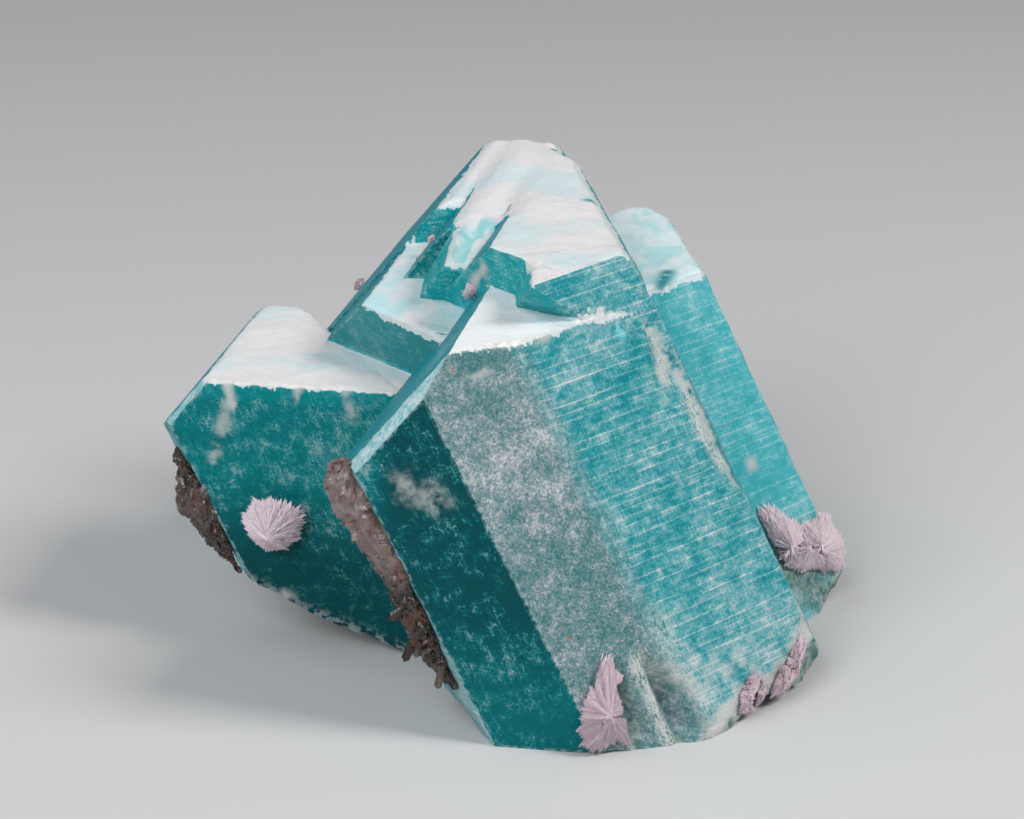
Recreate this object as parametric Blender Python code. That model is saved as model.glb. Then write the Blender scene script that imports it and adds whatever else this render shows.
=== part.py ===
"""Rough amazonite: blocky microcline crystals grown together, with cleavelandite and smoky quartz on them.

Metres, +Z up. The crystals stand in parallel growth, so one set of face directions serves them all: X lies
along the a axis, Y along the b axis and Z along the normal of the white basal caps.
"""

import math

import bmesh
import bpy
from mathutils import Vector, noise

MM = 0.001

# Microcline cell: axis lengths in angstrom and the angle between a and c
CELL_A = 8.56
CELL_B = 12.96
CELL_C = 7.21
CELL_BETA = math.radians(115.9)

# The specimen is laid out from the foot of its front crystal, and the origin is the middle of its footprint
FOOT_TO_MIDDLE = Vector((-18.42, 46.69, 0.0))
ROOT_DEPTH = 6.0
CLEARANCE = 0.3

# Face distances in mm, along each face's normal, measured from the front crystal's foot
FRONT_WALL = 0.0
FRONT_BEVEL = 1.45
BRIGHT_FACE = 10.0
REAR_PRISM_SIDE = 37.2
MAIN_LEFT_SLOPE = 63.0
FRONT_CAP = 57.2
UPPER_CAP = 64.0
LEFT_CAP = 41.5
RIGHT_CAP = 51.6
LEFT_WALL = -28.0
RIGHT_WALL = -5.8

# Underside: broken ground that rises off the floor, in mm
GROUND_SIZE = 130.0
GROUND_CELLS = 44
GROUND_RELIEF = 2.0
GROUND_ROUGHNESS = 1.5
LAND_BLEND = 5.0
LEFT_RISE_START = -36.0
LEFT_RISE_SLOPE = 0.38
LEFT_CORNER_START = -52.5
LEFT_CORNER_SLOPE = 0.6
SEED = 7.3


def face_normal(h, k, l):
    """Unit normal of a crystal face from its Miller indices, in the frame that the header gives."""
    along_a = h / CELL_A
    along_b = k / CELL_B
    along_c = l / (CELL_C * math.sin(CELL_BETA)) - h * math.cos(CELL_BETA) / (CELL_A * math.sin(CELL_BETA))
    return Vector((along_a, along_b, along_c)).normalized()


CAP = face_normal(0, 0, 1)
WALL = face_normal(0, -1, 0)
BACK = face_normal(0, 1, 0)
BEVEL = face_normal(1, -3, 0)
PRISM_RIGHT = face_normal(1, -1, 0)
PRISM_REAR = face_normal(1, 1, 0)
PRISM_SIDE = face_normal(2, 1, 0)
PRISM_LEFT = face_normal(-1, -1, 0)
PRISM_BACK_LEFT = face_normal(-1, 1, 0)
PRISM_LEFT_SIDE = face_normal(-2, 1, 0)
DOME = face_normal(-1, 0, 1)
STEEP_DOME = face_normal(-2, 0, 1)
CORNER_SLOPE = face_normal(-1, -1, 1)
UNDER = Vector((0.0, 0.0, -1.0))

# Curved or stepped growth has no simple index, so these directions are given as they stand
STEP_FRONT = Vector((-0.60, -0.74, -0.29)).normalized()
STEP_CAP = Vector((-0.03, -0.127, 0.992)).normalized()
KNOB_CAP = Vector((0.044, -0.241, 0.969)).normalized()
KNOB_LEFT = Vector((-0.858, -0.152, 0.490)).normalized()
KNOB_FRONT = Vector((-0.088, -0.867, -0.490)).normalized()
PRONG_LEFT = Vector((-0.945, -0.207, 0.255)).normalized()
PRONG_UNDERCUT = Vector((-0.244, -0.597, -0.764)).normalized()
CROWN_CAP = Vector((0.017, -0.095, 0.995)).normalized()
NOTCH_WALL = Vector((0.30, -0.93, -0.20)).normalized()
CORNER_BREAK = Vector((0.86, -0.50, 0.14)).normalized()
BROKEN_END = Vector((0.90, -0.10, -0.42)).normalized()

# Each crystal is the space behind its faces: a direction and a distance in mm
CRYSTALS = {
    "front": [
        (WALL, FRONT_WALL),
        (BEVEL, FRONT_BEVEL),
        (PRISM_RIGHT, BRIGHT_FACE),
        (PRISM_SIDE, REAR_PRISM_SIDE),
        (CAP, FRONT_CAP),
        (CORNER_SLOPE, 44.0),
        (DOME, 50.8),
        (PRISM_LEFT, 9.2),
        (PRISM_BACK_LEFT, 22.4),
        (CORNER_BREAK, 11.3),
        (BROKEN_END, 22.6),
        (BACK, 48.0),
    ],
    "core": [
        (WALL, -30.0),
        (STEP_FRONT, -20.6),
        (PRISM_RIGHT, BRIGHT_FACE - 0.15),
        (CORNER_BREAK, 11.15),
        (BROKEN_END, 22.4),
        (PRISM_SIDE, REAR_PRISM_SIDE - 0.2),
        (CAP, 50.5),
        (DOME, MAIN_LEFT_SLOPE - 0.8),
        (PRISM_LEFT, 9.0),
        (PRISM_BACK_LEFT, 62.5),
        (BACK, 88.0),
    ],
    "crown_right": [
        (CAP, UPPER_CAP),
        (STEP_FRONT, -29.4),
        (PRISM_RIGHT, BRIGHT_FACE - 0.12),
        (PRISM_SIDE, REAR_PRISM_SIDE - 0.1),
        (DOME, 54.8),
        (PRISM_REAR, 53.2),
        (BACK, 91.0),
        (UNDER, -40.0),
    ],
    "crown_prong": [
        (CAP, UPPER_CAP - 0.08),
        (PRONG_LEFT, 22.1),
        (PRONG_UNDERCUT, -54.3),
        (PRISM_RIGHT, BRIGHT_FACE - 0.05),
        (PRISM_SIDE, REAR_PRISM_SIDE - 0.3),
        (BACK, 60.0),
        (UNDER, -41.0),
    ],
    "crown_left": [
        (CROWN_CAP, 56.2),
        (CAP, UPPER_CAP - 0.1),
        (WALL, -48.6),
        (DOME, 60.2),
        (PRISM_SIDE, 33.0),
        (BACK, 90.8),
        (UNDER, -42.0),
    ],
    "crown_peak": [
        (CROWN_CAP, 53.9),
        (NOTCH_WALL, -78.5),
        (DOME, MAIN_LEFT_SLOPE),
        (PRISM_SIDE, 36.0),
        (BACK, 90.5),
        (PRISM_BACK_LEFT, 62.8),
        (UNDER, -20.0),
    ],
    "step": [
        (STEP_CAP, 46.66),
        (STEP_FRONT, -20.36),
        (DOME, 62.6),
        (PRISM_LEFT, 20.0),
        (PRISM_BACK_LEFT, 60.0),
        (PRISM_SIDE, 16.0),
        (BACK, 80.0),
        (UNDER, -22.0),
    ],
    "knob": [
        (KNOB_CAP, 46.81),
        (KNOB_LEFT, 45.4),
        (KNOB_FRONT, -58.67),
        (PRISM_SIDE, 24.0),
        (BACK, 50.0),
        (UNDER, -36.0),
    ],
    "left": [
        (WALL, LEFT_WALL),
        (CAP, LEFT_CAP),
        (DOME, 73.2),
        (STEEP_DOME, 73.9),
        (CORNER_SLOPE, 51.9),
        (PRISM_LEFT, 23.7),
        (PRISM_REAR, 6.4),
        (PRISM_BACK_LEFT, 64.2),
        (PRISM_LEFT_SIDE, 54.8),
        (BACK, 64.0),
    ],
    "left_shelf": [
        (WALL, LEFT_WALL - 0.1),
        (CAP, LEFT_CAP - 0.1),
        (DOME, 62.0),
        (PRISM_LEFT, 14.0),
        (PRISM_SIDE, 8.0),
        (BACK, 49.3),
    ],
    "right": [
        (PRISM_RIGHT, RIGHT_WALL),
        (WALL, -50.0),
        (DOME, 44.0),
        (PRISM_SIDE, 46.8),
        (CAP, RIGHT_CAP),
        (PRISM_REAR, 64.8),
        (BACK, 94.6),
        (PRISM_BACK_LEFT, 34.5),
        (BROKEN_END, 20.2),
    ],
}

# Flat lands of the underside, each a capsule: two ends and a radius in mm
LANDS = [
    (Vector((-10.0, 3.0)), Vector((17.0, 9.0)), 4.5),
    (Vector((-27.0, 31.0)), Vector((-18.0, 35.0)), 4.5),
    (Vector((26.0, 56.0)), Vector((19.0, 64.0)), 5.0),
    (Vector((-16.0, 72.0)), Vector((2.0, 78.0)), 6.5),
]


def clear_scene():
    for obj in list(bpy.data.objects):
        bpy.data.objects.remove(obj, do_unlink=True)


def new_collection(name):
    collection = bpy.data.collections.new(name)
    bpy.context.scene.collection.children.link(collection)
    return collection


def place(point):
    """A point in mm from the front crystal's foot, as metres from the origin."""
    return (Vector(point) - FOOT_TO_MIDDLE) * MM


def add_object(bm, name, collection):
    bmesh.ops.recalc_face_normals(bm, faces=bm.faces)
    mesh = bpy.data.meshes.new(name)
    bm.to_mesh(mesh)
    bm.free()
    obj = bpy.data.objects.new(name, mesh)
    collection.objects.link(obj)
    return obj


def add_material(name, base_color, roughness):
    material = bpy.data.materials.new(name)
    material.use_nodes = True
    material.diffuse_color = base_color
    shader = material.node_tree.nodes["Principled BSDF"]
    shader.inputs["Base Color"].default_value = base_color
    shader.inputs["Roughness"].default_value = roughness
    shader.inputs["Metallic"].default_value = 0.0
    return material


def add_crystal(name, faces, growth, collection):
    """Cleaves one crystal out of a block, with every face moved outward by growth mm."""
    bm = bmesh.new()
    bmesh.ops.create_cube(bm, size=0.4)
    for normal, distance in faces:
        on_face = place(normal * (distance + growth))
        geometry = bm.verts[:] + bm.edges[:] + bm.faces[:]
        cut = bmesh.ops.bisect_plane(bm, geom=geometry, plane_co=on_face, plane_no=normal, clear_outer=True)
        rim = [item for item in cut["geom_cut"] if isinstance(item, bmesh.types.BMEdge)]
        if rim:
            bmesh.ops.contextual_create(bm, geom=rim)
    return add_object(bm, name, collection)


def add_boolean(obj, other, operation):
    boolean = obj.modifiers.new(f"{operation.lower()}_{other.name}", "BOOLEAN")
    boolean.operation = operation
    boolean.solver = "EXACT"
    boolean.object = other


def as_helper(obj):
    obj.hide_render = True
    obj.display_type = "WIRE"
    return obj


def add_cluster(name, growth, collection, helpers):
    """All the crystals, grown together into one solid."""
    pieces = []
    for number, (key, faces) in enumerate(CRYSTALS.items()):
        root = (UNDER, ROOT_DEPTH + 0.2 * number)
        pieces.append(add_crystal(f"{name}_{key}", [*faces, root], growth, helpers))
    cluster = pieces[0]
    helpers.objects.unlink(cluster)
    collection.objects.link(cluster)
    cluster.name = name
    cluster.data.name = name
    for piece in pieces[1:]:
        add_boolean(cluster, as_helper(piece), "UNION")
    return cluster


def smooth_step(value):
    value = min(max(value, 0.0), 1.0)
    return value * value * (3.0 - 2.0 * value)


def distance_to_land(point, start, end, radius):
    along = end - start
    share = min(max((point - start).dot(along) / along.length_squared, 0.0), 1.0)
    return (point - start - along * share).length - radius


def ground_height(x, y):
    """Height in mm of the specimen's underside over the floor, zero on its flat lands."""
    point = Vector((x, y))
    bumps = noise.noise(Vector((x * 0.11, y * 0.11, SEED))) + 0.5 * noise.noise(Vector((x * 0.27, y * 0.27, SEED)))
    height = GROUND_RELIEF + GROUND_ROUGHNESS * bumps
    height += LEFT_RISE_SLOPE * max(LEFT_RISE_START - x, 0.0) + LEFT_CORNER_SLOPE * max(LEFT_CORNER_START - x, 0.0)
    nearest = min(distance_to_land(point, *land) for land in LANDS)
    return height * smooth_step(nearest / LAND_BLEND)


def add_ground(collection):
    """A slab with the broken underside as its top. It is taken away from the crystals."""
    bm = bmesh.new()
    bmesh.ops.create_grid(bm, x_segments=GROUND_CELLS, y_segments=GROUND_CELLS, size=GROUND_SIZE * MM / 2)
    top = bm.faces[:]
    for vert in bm.verts:
        spot = vert.co / MM + FOOT_TO_MIDDLE
        vert.co.z = ground_height(spot.x, spot.y) * MM
    raised = bmesh.ops.extrude_face_region(bm, geom=top)
    for item in raised["geom"]:
        if isinstance(item, bmesh.types.BMVert):
            item.co.z = -3 * ROOT_DEPTH * MM
    return as_helper(add_object(bm, "ground_cut", collection))


def spine_point(spine, share):
    """A point and its radii at a share of the way along a spine of (place, radii) stations."""
    position = share * (len(spine) - 1)
    index = min(int(position), len(spine) - 2)
    blend = position - index
    start, start_radii = spine[index]
    end, end_radii = spine[index + 1]
    return start.lerp(end, blend), start_radii.lerp(end_radii, blend)


def add_lump(name, facing, spine, roughness, grain, rings, segments, collection, ribs=0.0):
    """An irregular growth along a spine of (place, (half width, half thickness)) stations, lying on a face."""
    stations = [(Vector(spot), Vector(radii)) for spot, radii in spine]
    along = (stations[-1][0] - stations[0][0]).normalized()
    outward = (facing - along * facing.dot(along)).normalized()
    across = along.cross(outward)
    bm = bmesh.new()
    bmesh.ops.create_uvsphere(bm, u_segments=segments, v_segments=rings, radius=1.0)
    for vert in bm.verts:
        middle, radii = spine_point(stations, (vert.co.z + 1.0) / 2.0)
        spot = middle + across * vert.co.x * radii.x + outward * vert.co.y * radii.y
        bump = noise.noise(spot / grain) + 0.6 * noise.noise(spot / (grain * 0.45) + Vector((SEED, 0.0, 0.0)))
        rib = ribs * math.cos(math.atan2(vert.co.y, vert.co.x) * 11.0 + 2.0 * bump)
        push = across * vert.co.x + outward * vert.co.y + along * vert.co.z * 0.5
        vert.co = place(spot + push * (roughness * bump + rib))
    return add_object(bm, name, collection)


def add_growth(name, mineral, *shape, ribs=0.0):
    """A growth of another mineral, cut back to leave the crystals their room."""
    growth = add_lump(name, *shape, specimen, ribs)
    growth.data.materials.append(mineral)
    add_boolean(growth, room, "DIFFERENCE")
    return growth


clear_scene()
specimen = new_collection("rough_amazonite")
cutters = new_collection("cutters")
cutters.hide_render = True

amazonite = add_material("amazonite", (0.10, 0.50, 0.48, 1.0), 0.45)
cleavelandite = add_material("cleavelandite", (0.74, 0.66, 0.72, 1.0), 0.60)
smoky_quartz = add_material("smoky_quartz", (0.27, 0.21, 0.19, 1.0), 0.25)

# Amazonite: one solid of parallel crystals, broken off its matrix below
crystals = add_cluster("amazonite_crystals", 0.0, specimen, cutters)
crystals.data.materials.append(amazonite)

# Two growth flutes run down the front crystal's bevel to its foot
FLUTES = {
    "flute_left": [((3.4, 2.6, 13.0), (0.3, 0.3)), ((6.8, 2.1, 4.6), (1.2, 1.0)), ((9.0, 1.8, -1.0), (1.8, 1.4))],
    "flute_right": [((6.9, 4.9, 13.8), (0.3, 0.3)), ((11.6, 4.9, 5.0), (1.5, 1.1)), ((14.6, 4.9, -1.0), (2.2, 1.5))],
}
for key, spine in FLUTES.items():
    flute = as_helper(add_lump(key, BEVEL, spine, 0.15, 3.0, 12, 10, cutters))
    add_boolean(crystals, flute, "DIFFERENCE")
add_boolean(crystals, add_ground(cutters), "DIFFERENCE")

# Room that the crystals take from whatever grew on them
room = as_helper(add_cluster("crystal_room", CLEARANCE, cutters, cutters))

# Cleavelandite: a rosette on the left crystal's wall and sprays in the hollows near the foot
add_growth(
    "cleavelandite_rosette",
    cleavelandite,
    WALL,
    [
        ((-49.5, 26.4, 16.3), (0.8, 0.8)),
        ((-49.5, 26.4, 17.4), (4.0, 3.4)),
        ((-49.5, 26.4, 20.5), (5.0, 4.4)),
        ((-49.4, 26.4, 23.4), (4.2, 3.6)),
        ((-49.4, 26.4, 24.8), (0.8, 0.8)),
    ],
    0.45, 1.6, 16, 24,
    ribs=0.25,
)
front_spray = add_growth(
    "cleavelandite_front_spray",
    cleavelandite,
    BEVEL,
    [
        ((3.0, 2.6, 14.6), (0.6, 0.5)),
        ((3.7, 2.4, 11.2), (2.0, 1.3)),
        ((3.6, 1.4, 7.0), (3.1, 1.7)),
        ((3.4, 0.7, 3.6), (3.6, 1.9)),
        ((3.2, 0.4, 0.2), (4.0, 1.7)),
    ],
    0.35, 1.7, 16, 20,
)
add_growth(
    "cleavelandite_right_spray",
    cleavelandite,
    PRISM_RIGHT,
    [
        ((16.8, 52.0, 19.6), (0.8, 0.7)),
        ((20.0, 53.6, 15.4), (2.6, 2.0)),
        ((24.2, 56.0, 11.4), (3.8, 2.6)),
        ((28.2, 59.0, 8.0), (3.8, 2.4)),
        ((31.0, 61.6, 4.8), (1.6, 1.4)),
    ],
    0.5, 1.9, 16, 20,
)
add_growth(
    "cleavelandite_base_spray",
    cleavelandite,
    CORNER_BREAK,
    [
        ((19.8, 12.2, 0.9), (0.8, 0.8)),
        ((20.9, 14.6, 2.6), (1.8, 1.5)),
        ((22.6, 18.0, 3.9), (1.9, 1.5)),
        ((24.4, 21.2, 5.2), (0.8, 0.8)),
    ],
    0.35, 1.4, 12, 14,
)
add_growth(
    "cleavelandite_corner_spray",
    cleavelandite,
    CORNER_BREAK,
    [
        ((25.3, 22.0, 0.8), (0.8, 0.8)),
        ((26.5, 24.6, 2.6), (2.1, 1.6)),
        ((28.0, 27.6, 4.6), (1.9, 1.5)),
        ((29.3, 30.2, 6.6), (0.8, 0.8)),
    ],
    0.35, 1.4, 12, 14,
)
add_growth(
    "cleavelandite_notch_bit",
    cleavelandite,
    KNOB_LEFT,
    [((-31.5, 55.8, 57.2), (0.5, 0.5)), ((-31.4, 55.2, 55.6), (1.1, 1.2)), ((-31.2, 54.4, 53.8), (0.6, 0.6))],
    0.15, 1.0, 8, 8,
)
add_growth(
    "cleavelandite_knob_bit",
    cleavelandite,
    KNOB_FRONT,
    [((-19.6, 34.2, 58.8), (0.6, 0.6)), ((-20.9, 35.4, 56.2), (1.7, 1.5)), ((-22.6, 36.8, 53.4), (0.6, 0.6))],
    0.2, 1.0, 8, 8,
)
add_growth(
    "cleavelandite_flank_bit",
    cleavelandite,
    DOME,
    [((-47.6, 78.6, 41.8), (0.4, 0.4)), ((-48.6, 79.6, 40.6), (1.1, 1.1)), ((-49.6, 80.6, 39.4), (0.4, 0.4))],
    0.2, 1.0, 8, 8,
)

# Smoky quartz: drusy crusts on the undersides of the left and the front crystal
add_growth(
    "smoky_quartz_left_crust",
    smoky_quartz,
    PRISM_LEFT,
    [
        ((-67.6, 30.2, 34.4), (0.8, 0.8)),
        ((-66.0, 30.2, 31.0), (2.0, 0.9)),
        ((-64.0, 30.4, 26.6), (2.6, 1.4)),
        ((-62.3, 30.8, 22.4), (3.0, 2.9)),
        ((-60.3, 30.8, 18.2), (3.0, 2.7)),
        ((-58.2, 31.0, 13.8), (2.8, 1.8)),
        ((-56.4, 31.2, 10.4), (0.9, 0.9)),
    ],
    0.55, 1.9, 26, 16,
)
add_growth(
    "smoky_quartz_front_crust",
    smoky_quartz,
    PRISM_LEFT,
    [
        ((-34.4, 2.6, 40.4), (0.9, 0.9)),
        ((-33.6, 4.2, 37.4), (4.4, 3.0)),
        ((-31.0, 4.8, 32.2), (4.6, 2.6)),
        ((-28.0, 4.8, 27.2), (4.2, 2.0)),
        ((-25.2, 4.2, 21.8), (3.8, 2.0)),
        ((-22.8, 3.8, 16.4), (3.6, 2.4)),
        ((-20.6, 3.6, 11.4), (3.2, 2.4)),
        ((-18.2, 3.2, 7.2), (0.9, 0.9)),
    ],
    0.5, 1.8, 28, 16,
)

# The front spray ends just over the floor
slab = bmesh.new()
bmesh.ops.create_cube(slab, size=1.0)
bmesh.ops.scale(slab, vec=(0.06, 0.06, 0.01), verts=slab.verts)
bmesh.ops.translate(slab, vec=place((3.8, 0.0, -4.9)), verts=slab.verts)
floor_cut = as_helper(add_object(slab, "floor_cut", cutters))
add_boolean(front_spray, floor_cut, "DIFFERENCE")
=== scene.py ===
"""Rough amazonite: blocky crystals with white caps, tufts of cleavelandite and crusts of smoky quartz.

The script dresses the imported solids. In the mineral sections sizes are in mm, and places are measured from
the front crystal's foot: X along the crystals' a axis, Y along their b axis and Z along the caps' normal.
"""

import math

import bmesh
import bpy
import numpy as np
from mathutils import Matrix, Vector, kdtree, noise


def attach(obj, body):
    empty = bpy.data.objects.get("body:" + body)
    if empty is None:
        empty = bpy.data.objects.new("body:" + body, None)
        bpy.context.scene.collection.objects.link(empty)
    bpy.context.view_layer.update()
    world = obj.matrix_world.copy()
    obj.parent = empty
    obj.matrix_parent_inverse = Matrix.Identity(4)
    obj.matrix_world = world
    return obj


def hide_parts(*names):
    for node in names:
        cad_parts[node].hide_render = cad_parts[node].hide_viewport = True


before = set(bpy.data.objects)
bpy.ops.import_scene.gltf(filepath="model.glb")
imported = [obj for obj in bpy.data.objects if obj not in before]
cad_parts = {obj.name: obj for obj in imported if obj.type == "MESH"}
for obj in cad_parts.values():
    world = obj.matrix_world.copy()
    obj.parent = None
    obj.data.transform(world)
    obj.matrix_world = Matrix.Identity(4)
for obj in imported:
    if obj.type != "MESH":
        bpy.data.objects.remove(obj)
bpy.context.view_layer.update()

# Floor, light and camera.
# A plain pale sheet lies under the specimen. The key light stands at the upper right, a weak one at the upper
# left and a broad one at the front left. The camera looks along the photograph's line. Places are in metres.
MM = 0.001
SPECIMEN_MIDDLE = Vector((0.0, 0.0, 0.03))
FLOOR_SIZE = 6.0
FLOOR_GREY = 0.66
CAMERA_AZIMUTH = math.radians(10.4)
CAMERA_ELEVATION = math.radians(20.0)
CAMERA_LENS = 116.0
CAMERA_PLACE = Vector((84.49, -457.66, 202.45)) * MM


def new_object(name, data):
    obj = bpy.data.objects.new(name, data)
    bpy.context.scene.collection.objects.link(obj)
    return obj


floor_mesh = bpy.data.meshes.new("floor")
sheet = bmesh.new()
bmesh.ops.create_grid(sheet, x_segments=4, y_segments=4, size=FLOOR_SIZE / 2)
sheet.to_mesh(floor_mesh)
sheet.free()
floor = new_object("floor", floor_mesh)
floor_finish = bpy.data.materials.new("pale_floor")
floor_finish.use_nodes = True
floor_shader = floor_finish.node_tree.nodes["Principled BSDF"]
floor_shader.inputs["Base Color"].default_value = (FLOOR_GREY, FLOOR_GREY, FLOOR_GREY * 1.01, 1.0)
floor_shader.inputs["Roughness"].default_value = 0.6
floor_mesh.materials.append(floor_finish)


def look_along(obj, direction):
    obj.rotation_mode = "QUATERNION"
    obj.rotation_quaternion = Vector(direction).to_track_quat("-Z", "Y")


def soft_box(name, place, size, power, tint):
    """A square area light that faces the middle of the specimen."""
    light = bpy.data.lights.new(name, "AREA")
    light.shape = "SQUARE"
    light.size = size
    light.energy = power
    light.color = tint
    lamp = new_object(name, light)
    lamp.location = place
    look_along(lamp, SPECIMEN_MIDDLE - Vector(place))


soft_box("key_light", (0.66, -0.12, 0.72), 0.30, 5.6, (1.0, 0.985, 0.96))
soft_box("top_light", (-0.50, -0.08, 0.80), 0.50, 1.6, (1.0, 1.0, 1.0))
soft_box("fill_light", (-0.30, -0.78, 0.60), 0.60, 5.4, (0.98, 0.99, 1.0))

world = bpy.data.worlds.new("room")
world.use_nodes = True
sky = world.node_tree.nodes["Background"]
sky.inputs["Color"].default_value = (0.80, 0.83, 0.88, 1.0)
sky.inputs["Strength"].default_value = 0.16
bpy.context.scene.world = world

camera_data = bpy.data.cameras.new("camera")
camera_data.lens = CAMERA_LENS
camera_data.sensor_width = 36.0
camera = new_object("camera", camera_data)
camera.location = CAMERA_PLACE
flat = math.cos(CAMERA_ELEVATION)
view_line = (-math.sin(CAMERA_AZIMUTH) * flat, math.cos(CAMERA_AZIMUTH) * flat, -math.sin(CAMERA_ELEVATION))
look_along(camera, view_line)
bpy.context.scene.camera = camera
bpy.context.scene.view_settings.view_transform = "Standard"

# Amazonite crystals.
# Green-blue microcline in parallel growth, with white basal caps, deep teal walls, a sparkling grey bevel and
# bright striped faces. Each face is cut into a fine net along the crystal's axes, then worn and chipped.
FOOT = np.array([18.42, -46.69, 0.0])
# Spacing of the net, and the share of it within which a point counts as lying on a cut
NET = 0.54
NEAR_CUT = 0.08
# A face that rises less than CAP_STEP, above CAP_STEPS_FROM, is a worn step of a cap
CAP_STEP = 0.4
CAP_STEPS_FROM = 40.0
# Cosines of how far a face may lean from its direction, and of how far two faces turn where they make an edge
SAME_FACE = 0.9993
EDGE_TURN = 0.97
C_AXIS = np.array([-0.437, 0.0, 0.900])
CUTS = np.array([[0.0, 0.0, 1.0], [0.0, 1.0, 0.0], [0.900, 0.0, 0.437]])
FACES = {
    "cap": [(0.0, 0.0, 1.0), (-0.03, -0.127, 0.992), (0.044, -0.241, 0.969), (0.017, -0.095, 0.995)],
    "wall": [(0.0, -1.0, 0.0)],
    "bevel": [(0.440, -0.872, 0.214)],
    "bright": [(0.773, -0.511, 0.375)],
    "slope": [(-0.685, -0.452, 0.571)],
    "dome": [(-0.768, 0.0, 0.641), (-0.985, 0.0, 0.172)],
    "riser": [
        (-0.60, -0.74, -0.29),
        (-0.858, -0.152, 0.490),
        (-0.088, -0.867, -0.490),
        (-0.945, -0.207, 0.255),
        (-0.244, -0.597, -0.764),
        (0.30, -0.93, -0.20),
    ],
    "side": [(0.8625, 0.285, 0.419), (0.773, 0.511, 0.375), (0.0, 1.0, 0.0), (-0.773, -0.511, -0.375)],
    "rear": [(-0.773, 0.511, -0.375), (-0.8625, 0.285, -0.419)],
}
KINDS = [*FACES, "broken"]
FRONT_KINDS = ("cap", "wall", "bevel", "bright", "slope", "dome", "riser")


def solid_triangles(node):
    """Points in mm from the foot, and triangles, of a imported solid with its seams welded."""
    shell = bmesh.new()
    shell.from_mesh(node.data)
    bmesh.ops.remove_doubles(shell, verts=shell.verts, dist=0.001 * MM)
    shell.verts.index_update()
    points = np.array([vert.co for vert in shell.verts]) / MM - FOOT
    triangles = [[vert.index for vert in face.verts] for face in shell.faces]
    shell.free()
    return points, triangles


def unit(vectors):
    return vectors / np.maximum(np.linalg.norm(vectors, axis=1), 1e-12)[:, None]


def squares_of(corners):
    """Vectors at right angles to triangles, twice as long as the triangles are large."""
    return np.cross(corners[:, 1] - corners[:, 0], corners[:, 2] - corners[:, 0])


def face_kind(normal):
    for kind, directions in FACES.items():
        for direction in directions:
            if np.dot(normal, direction) > SAME_FACE * np.linalg.norm(direction):
                return kind
    return "broken"


class Net:
    """Cuts triangles into a net of small faces that share their points."""

    def __init__(self, points):
        self.points = [np.array(point) for point in points]
        self.steps = [CUTS @ point / NET for point in self.points]
        self.chains = {}
        self.inner = {}

    def new_point(self, start, end, share):
        self.points.append(self.points[start] * (1.0 - share) + self.points[end] * share)
        self.steps.append(self.steps[start] * (1.0 - share) + self.steps[end] * share)
        return len(self.points) - 1

    def chain(self, start, end):
        """The points along an edge, from start up to but without end."""
        low, high = min(start, end), max(start, end)
        if (low, high) not in self.chains:
            self.chains[low, high] = self.cut_edge(low, high)
        between = self.chains[low, high]
        return [start, *(between if start == low else between[::-1])]

    def cut_edge(self, low, high):
        cuts = []
        for family in range(len(CUTS)):
            first, last = self.steps[low][family], self.steps[high][family]
            if abs(last - first) < NEAR_CUT:
                continue
            lowest, highest = min(first, last) + NEAR_CUT, max(first, last) - NEAR_CUT
            for count in range(math.ceil(lowest), math.floor(highest) + 1):
                cuts.append(((count - first) / (last - first), family, count))
        between = []
        for share, family, count in sorted(cuts):
            if between and abs(self.steps[between[-1]][family] - count) < NEAR_CUT:
                continue
            between.append(self.new_point(low, high, share))
        return between

    def split(self, outline, family, count):
        """The part of a face below a cut, and the rest."""
        offsets = [self.steps[point][family] - count for point in outline]
        if max(offsets) <= NEAR_CUT:
            return outline, None
        if min(offsets) >= -NEAR_CUT:
            return None, outline
        size = len(outline)
        signs = [0 if abs(offset) < NEAR_CUT else (1 if offset > 0 else -1) for offset in offsets]
        # Where neighbouring points lie on the cut, only the nearest one stays on both sides of it
        for index in range(size):
            if signs[index] == 0 and signs[index - 1] != 0:
                run = []
                while signs[(index + len(run)) % size] == 0:
                    run.append((index + len(run)) % size)
                kept = min(run, key=lambda spot: abs(offsets[spot]))
                for spot in run:
                    if spot != kept:
                        signs[spot] = 2 if offsets[spot] > 0 else -2
        below, above = [], []
        for index, point in enumerate(outline):
            follower = outline[(index + 1) % size]
            sign, next_sign = signs[index], signs[(index + 1) % size]
            if sign <= 0:
                below.append(point)
            if sign >= 0:
                above.append(point)
            if sign * next_sign < 0:
                low, high = min(point, follower), max(point, follower)
                key = (low, high, family, count)
                if key not in self.inner:
                    first, last = self.steps[low][family], self.steps[high][family]
                    self.inner[key] = self.new_point(low, high, (count - first) / (last - first))
                below.append(self.inner[key])
                above.append(self.inner[key])
        return below, above

    def strips_of(self, outline, family, stride):
        """Strips of a face between the cuts of one family."""
        strips = []
        values = [self.steps[point][family] for point in outline]
        first = math.ceil(min(values) / stride) * stride
        for count in range(first, math.ceil(max(values)) + 1, stride):
            below, outline = self.split(outline, family, count)
            if below:
                strips.append(below)
            if outline is None:
                return strips
        strips.append(outline)
        return strips

    def cut_face(self, triangle, normal, stride):
        outline = []
        for index in range(3):
            outline += self.chain(triangle[index], triangle[(index + 1) % 3])
        traces = [np.cross(normal, direction) for direction in CUTS]
        pairs = [(0, 1), (0, 2), (1, 2)]
        best = max(pairs, key=lambda pair: np.linalg.norm(np.cross(traces[pair[0]], traces[pair[1]])))
        small = []
        for strip in self.strips_of(outline, best[0], stride):
            small += self.strips_of(strip, best[1], stride)
        return small


solid_points, solid_faces = solid_triangles(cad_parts["amazonite_crystals"])
corner_points = solid_points[np.array(solid_faces)]
solid_normals = unit(squares_of(corner_points))
low_steps = (np.ptp(corner_points[:, :, 2], axis=1) < CAP_STEP) & (corner_points[:, 0, 2] > CAP_STEPS_FROM)
solid_kinds = ["cap" if low else face_kind(normal) for normal, low in zip(solid_normals, low_steps)]

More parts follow.
